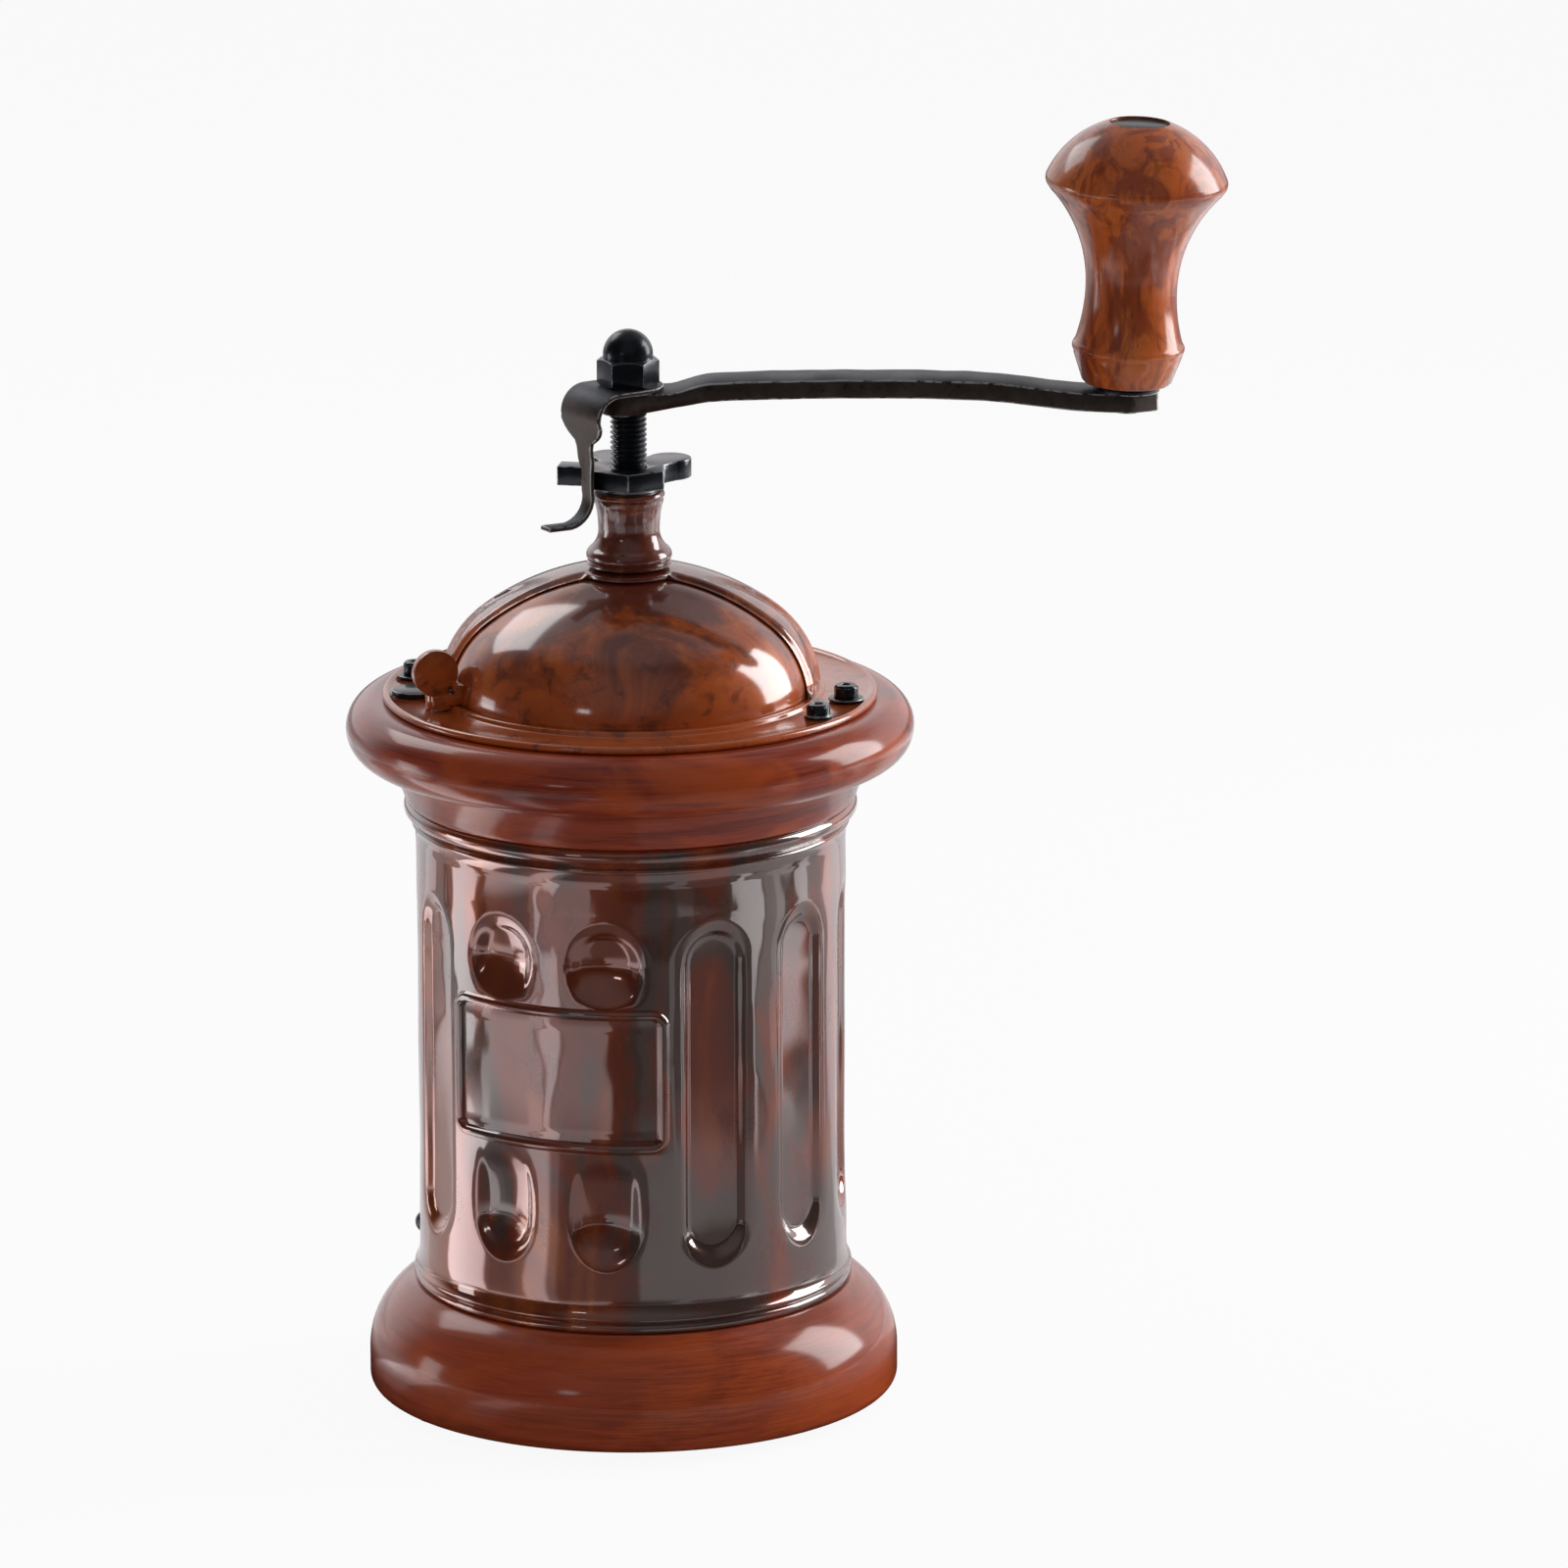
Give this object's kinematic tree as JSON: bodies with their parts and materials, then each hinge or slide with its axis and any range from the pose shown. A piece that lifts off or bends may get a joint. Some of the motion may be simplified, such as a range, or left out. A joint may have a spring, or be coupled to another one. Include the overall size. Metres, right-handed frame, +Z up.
{
  "type": "manual coffee grinder",
  "caption": "Hand coffee mill: fluted round canister on a wooden base, wooden collar, half-dome hopper with a rotating door, crank with a wooden knob.",
  "frame": {"origin": "on the spindle's axis, in the plane the rubber pads stand on", "axes": "+Z up along the spindle, +X along the crank arm at rest, the door and the plaque face -Y"},
  "size_m": [0.2115, 0.1368, 0.3139],
  "materials": {
    "red_wood": "turned wood under a thick glossy red-brown lacquer",
    "knob_wood": "turned wood, glossy orange-brown varnish",
    "pad_rubber": "dull blue-grey rubber",
    "lacquered_tin": "pressed tin plate under clear glossy brown lacquer",
    "black_steel": "steel with a black oxide",
    "forged_iron": "hand-forged bar with a dark brown patina",
    "grey_iron": "bare grey cast iron",
    "plain_steel": "plain zinc-plated steel",
    "black_plug": "black, smooth"
  },
  "bodies": {
    "stand": {"base": "red_wood", "base_pads": "pad_rubber", "canister": "lacquered_tin", "canister_screws": "black_steel"},
    "head": {"collar": "red_wood", "dome_cover": "lacquered_tin", "hopper_funnel": "plain_steel", "mill_frame": "grey_iron", "frame_screws": "plain_steel", "outer_burr": "grey_iron", "bearing_bridge": "grey_iron", "neck": "lacquered_tin", "neck_nut": "plain_steel", "thrust_washer": "plain_steel", "flange_screws": "black_steel", "screw_washers": "black_steel", "stop_screw": "black_steel", "stop_plate": "black_steel"},
    "door_unit": {"door": "lacquered_tin", "door_tab": "lacquered_tin", "tab_rivet": "plain_steel"},
    "crank": {"spindle": "black_steel", "inner_burr": "grey_iron", "burr_nut": "plain_steel", "crank_arm": "forged_iron", "lock_clip": "forged_iron", "cap_nut": "black_steel", "knob_pin": "plain_steel", "knob_washer": "black_steel"},
    "nut": {"adjusting_nut": "black_steel"},
    "handle": {"knob": "knob_wood", "knob_plug": "black_plug"}
  },
  "joints": [
    {"name": "head_lift", "type": "slide", "parent": "stand", "child": "head", "axis": [0, 0, 1], "range_m": [0, 0.05]},
    {"name": "door_turn", "type": "hinge", "parent": "head", "child": "door_unit", "pos_m": [0, 0, 0.205], "axis": [0, 0, 1], "range_deg": [0, 118]},
    {"name": "crank_turn", "type": "hinge", "parent": "head", "child": "crank", "pos_m": [0, 0, 0.215], "axis": [0, 0, 1], "continuous": true},
    {"name": "nut_turn", "type": "hinge", "parent": "crank", "child": "nut", "pos_m": [0, 0, 0.2277], "axis": [0, 0, 1], "range_deg": [-155, 14]},
    {"name": "knob_spin", "type": "hinge", "parent": "crank", "child": "handle", "pos_m": [0.119, 0, 0.2486], "axis": [0.0454, 0, 0.999], "continuous": true}
  ]
}
